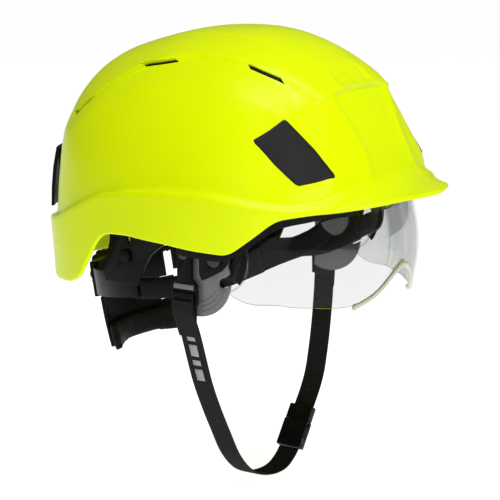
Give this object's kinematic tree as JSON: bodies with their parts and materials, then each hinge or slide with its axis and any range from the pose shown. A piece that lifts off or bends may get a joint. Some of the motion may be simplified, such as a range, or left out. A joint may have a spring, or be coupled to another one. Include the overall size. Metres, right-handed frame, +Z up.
{
  "type": "safety helmet",
  "caption": "Vented hard hat with flip-up clear eye shield, ratchet headband, textile cradle and buckled chin strap.",
  "frame": {"origin": "middle of the wearer's head at the level of the headband, which is the head_seat mount", "axes": "+X to the wearer's front, through the peak; +Y to the wearer's left; +Z up, through the crown"},
  "size_m": [0.2825, 0.2228, 0.3102],
  "materials": {
    "hi_vis_shell": "semi-gloss fluorescent yellow, moulded",
    "black_plastic": "satin black, moulded",
    "grey_plastic": "satin grey, slightly translucent",
    "clear_lens": "clear, polished",
    "nose_rubber": "soft matte",
    "webbing": "woven, ribbed across",
    "padding": "soft grained covering over foam",
    "steel_pin": "brushed"
  },
  "bodies": {
    "helmet": {"shell": "hi_vis_shell", "rim_frame": "black_plastic", "crown_ring": "black_plastic", "crown_pad": "padding", "brow_band": "black_plastic", "brow_pad": "padding", "ratchet_back": "black_plastic", "ratchet_cover": "black_plastic", "nape_plate": "black_plastic", "nape_pad": "padding", "pad_stud": "black_plastic", "badge_plate_left": "black_plastic", "badge_plate_right": "black_plastic", "rear_clip_base_left": "black_plastic", "rear_clip_base_right": "black_plastic", "visor_pin_left": "steel_pin", "visor_pin_right": "steel_pin", "rear_bracket_left": "black_plastic", "rear_bracket_right": "black_plastic", "bracket_rivet_left": "black_plastic", "bracket_rivet_right": "black_plastic", "side_hanger_left": "black_plastic", "side_hanger_right": "black_plastic", "anchor_pin_left": "steel_pin", "anchor_pin_right": "steel_pin", "cradle_front_left": "webbing", "cradle_front_right": "webbing", "cradle_rear_left": "webbing", "cradle_rear_right": "webbing", "front_hanger_left": "black_plastic", "front_hanger_right": "black_plastic"},
    "visor": {"visor_lens": "clear_lens", "nose_trim": "nose_rubber", "temple_plate_left": "grey_plastic", "temple_plate_right": "grey_plastic"},
    "rear_clip_leaf_left": {"rear_clip_left": "black_plastic"},
    "rear_clip_leaf_right": {"rear_clip_right": "black_plastic"},
    "arm_left": {"side_arm_left": "black_plastic"},
    "arm_right": {"side_arm_right": "black_plastic"},
    "knob": {"ratchet_knob": "black_plastic", "ratchet_pinion": "black_plastic"},
    "chin_strap": {"web_left": "webbing", "web_right": "webbing", "buckle_body": "black_plastic", "strap_anchor_left": "black_plastic", "strap_anchor_right": "black_plastic"},
    "tongue": {"buckle_tongue": "black_plastic"},
    "button_left": {"buckle_button_left": "black_plastic"},
    "button_right": {"buckle_button_right": "black_plastic"}
  },
  "joints": [
    {"name": "visor_hinge", "type": "hinge", "parent": "helmet", "child": "visor", "pos_m": [0.028, 0, 0.012], "axis": [0, -1, 0], "range_deg": [0, 48]},
    {"name": "rear_clip_left_flex", "type": "hinge", "parent": "helmet", "child": "rear_clip_leaf_left", "pos_m": [-0.1244, 0.0427, 0.0685], "axis": [0.369, 0.9294, 0], "range_deg": [0, 12], "stiffness_Nm_per_rad": 0.08},
    {"name": "rear_clip_right_flex", "type": "hinge", "parent": "helmet", "child": "rear_clip_leaf_right", "pos_m": [-0.1244, -0.0427, 0.0685], "axis": [-0.369, 0.9294, 0], "range_deg": [0, 12], "stiffness_Nm_per_rad": 0.08},
    {"name": "ratchet_turn", "type": "hinge", "parent": "helmet", "child": "knob", "pos_m": [-0.10718, 0, -0.02616], "axis": [0.9833, 0, 0.1822], "range_deg": [-84, 238]},
    {"name": "arm_left_travel", "type": "hinge", "parent": "helmet", "child": "arm_left", "pos_m": [-0.03343, 0, -0.0125], "axis": [-0.1822, 0, 0.9833], "range_deg": [-5, 14]},
    {"name": "arm_right_travel", "type": "hinge", "parent": "helmet", "child": "arm_right", "pos_m": [-0.03343, 0, -0.0125], "axis": [-0.1822, 0, 0.9833], "range_deg": [-14, 5]},
    {"name": "chin_strap_swing", "type": "hinge", "parent": "helmet", "child": "chin_strap", "pos_m": [0.006, 0, 0.014], "axis": [0, 1, 0], "range_deg": [-25, 25]},
    {"name": "buckle_release", "type": "slide", "parent": "chin_strap", "child": "tongue", "axis": [0, 0.5878, 0.809], "range_m": [0, 0.014]},
    {"name": "button_left_press", "type": "slide", "parent": "tongue", "child": "button_left", "axis": [-1, 0, 0], "range_m": [0, 0.0014], "stiffness_N_per_m": 250},
    {"name": "button_right_press", "type": "slide", "parent": "tongue", "child": "button_right", "axis": [1, 0, 0], "range_m": [0, 0.0014], "stiffness_N_per_m": 250}
  ],
  "couplings": [
    {"joint": "arm_left_travel", "follows": "ratchet_turn", "ratio": 0.0581},
    {"joint": "arm_right_travel", "follows": "ratchet_turn", "ratio": -0.0581}
  ]
}
